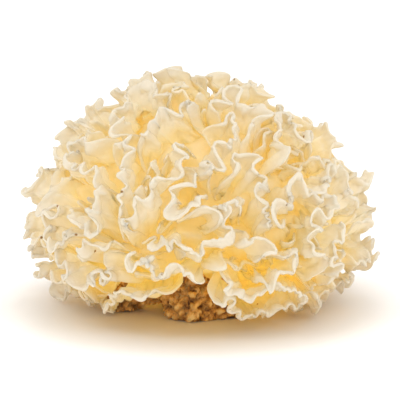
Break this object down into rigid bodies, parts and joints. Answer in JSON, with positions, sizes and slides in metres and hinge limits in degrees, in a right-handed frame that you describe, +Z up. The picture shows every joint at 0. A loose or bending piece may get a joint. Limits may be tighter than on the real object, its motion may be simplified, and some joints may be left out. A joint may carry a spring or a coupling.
{
  "type": "snow fungus",
  "caption": "Whole head of snow fungus: a low dome of ruffled translucent fronds on a small piece of brown substrate.",
  "frame": {"origin": "on the flat underside of the substrate, below the middle of the holdfast", "axes": "+Z up, +X to the right and +Y away from the viewer of the picture"},
  "size_m": [0.1392, 0.1371, 0.092],
  "materials": {
    "frond": "wet, gelatinous, translucent",
    "holdfast": "wet, gelatinous",
    "substrate": "rough, crumbly"
  },
  "bodies": {
    "root": {"frond_back_row_1_1": "frond", "frond_back_row_1_2": "frond", "frond_back_row_1_3": "frond", "frond_back_row_2_1": "frond", "frond_back_row_2_2": "frond", "frond_back_row_2_3": "frond", "frond_back_row_2_4": "frond", "frond_back_row_3_1": "frond", "frond_back_row_3_2": "frond", "frond_back_row_3_3": "frond", "frond_back_row_4_1": "frond", "frond_back_row_4_2": "frond", "frond_back_row_5_1": "frond", "frond_back_row_5_2": "frond", "frond_back_row_5_3": "frond", "frond_back_row_6_1": "frond", "frond_back_row_6_2": "frond", "frond_back_row_7_1": "frond", "frond_bib": "frond", "frond_centre_petal": "frond", "frond_centre_right": "frond", "frond_crown_front": "frond", "frond_crown_left": "frond", "frond_crown_right": "frond", "frond_filling_1": "frond", "frond_filling_2": "frond", "frond_filling_3": "frond", "frond_filling_4": "frond", "frond_filling_5": "frond", "frond_filling_6": "frond", "frond_fringe_left": "frond", "frond_fringe_right": "frond", "frond_hook": "frond", "frond_left_cheek": "frond", "frond_left_flap": "frond", "frond_left_petal": "frond", "frond_left_rim_high": "frond", "frond_left_rim_middle": "frond", "frond_left_shoulder": "frond", "frond_left_skirt": "frond", "frond_left_wall": "frond", "frond_long_ridge": "frond", "frond_low_left_ruffle": "frond", "frond_low_left_wave": "frond", "frond_low_right_petal": "frond", "frond_peak": "frond", "frond_ribbon_low": "frond", "frond_right_inner_flap": "frond", "frond_right_outer": "frond", "frond_right_rim_high": "frond", "frond_right_rim_low": "frond", "frond_right_shoulder": "frond", "frond_right_skirt": "frond", "frond_right_terrace": "frond", "frond_right_wave": "frond", "frond_small_arch": "frond", "frond_upper_right_petal": "frond", "frond_v_fold": "frond", "holdfast": "holdfast", "substrate": "substrate"}
  },
  "joints": []
}
